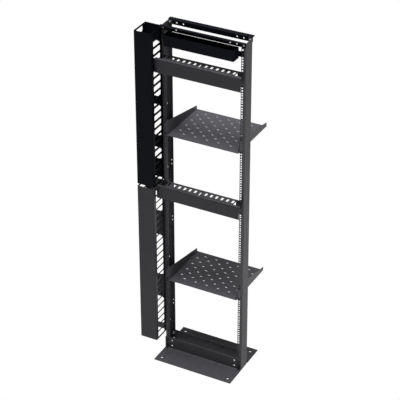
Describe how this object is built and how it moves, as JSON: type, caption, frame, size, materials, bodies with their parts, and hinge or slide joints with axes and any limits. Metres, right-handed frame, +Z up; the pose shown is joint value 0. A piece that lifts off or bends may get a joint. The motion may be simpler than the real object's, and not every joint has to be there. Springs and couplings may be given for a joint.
{
  "type": "two post open frame rack",
  "caption": "Floor standing open rack: channel posts on angle feet, with shelves, covered cable managers, a top trough and a slotted vertical cable duct on one side.",
  "frame": {"origin": "on the floor, at the centre of the four floor anchor holes", "axes": "+Z up, +X to the right of a person facing the rack, +Y from the front to the back"},
  "size_m": [0.6216, 0.483, 2.1225],
  "materials": {
    "satin_black": "satin black powder coat",
    "deep_black": "satin black powder coat",
    "cover_black": "satin black powder coat"
  },
  "bodies": {
    "root": {"left_post_web": "satin_black", "left_post_front_rail": "satin_black", "left_post_rear_rail": "satin_black", "right_post_web": "satin_black", "right_post_front_rail": "satin_black", "right_post_rear_rail": "satin_black", "front_base_angle": "satin_black", "rear_base_angle": "satin_black", "front_top_angle": "satin_black", "rear_top_angle": "satin_black", "top_trough": "deep_black", "upper_manager_frame": "satin_black", "upper_manager_top_fingers": "satin_black", "upper_manager_bottom_fingers": "satin_black", "upper_manager_cover": "cover_black", "middle_manager_frame": "satin_black", "middle_manager_top_fingers": "satin_black", "middle_manager_bottom_fingers": "satin_black", "middle_manager_cover": "cover_black", "upper_shelf": "satin_black", "lower_shelf": "satin_black", "upper_section_back": "deep_black", "upper_section_outer_wall": "deep_black", "upper_section_inner_wall": "deep_black", "upper_section_cover": "deep_black", "lower_section_back": "satin_black", "lower_section_outer_wall": "satin_black", "lower_section_inner_wall": "satin_black", "lower_section_cover": "cover_black"}
  },
  "joints": []
}
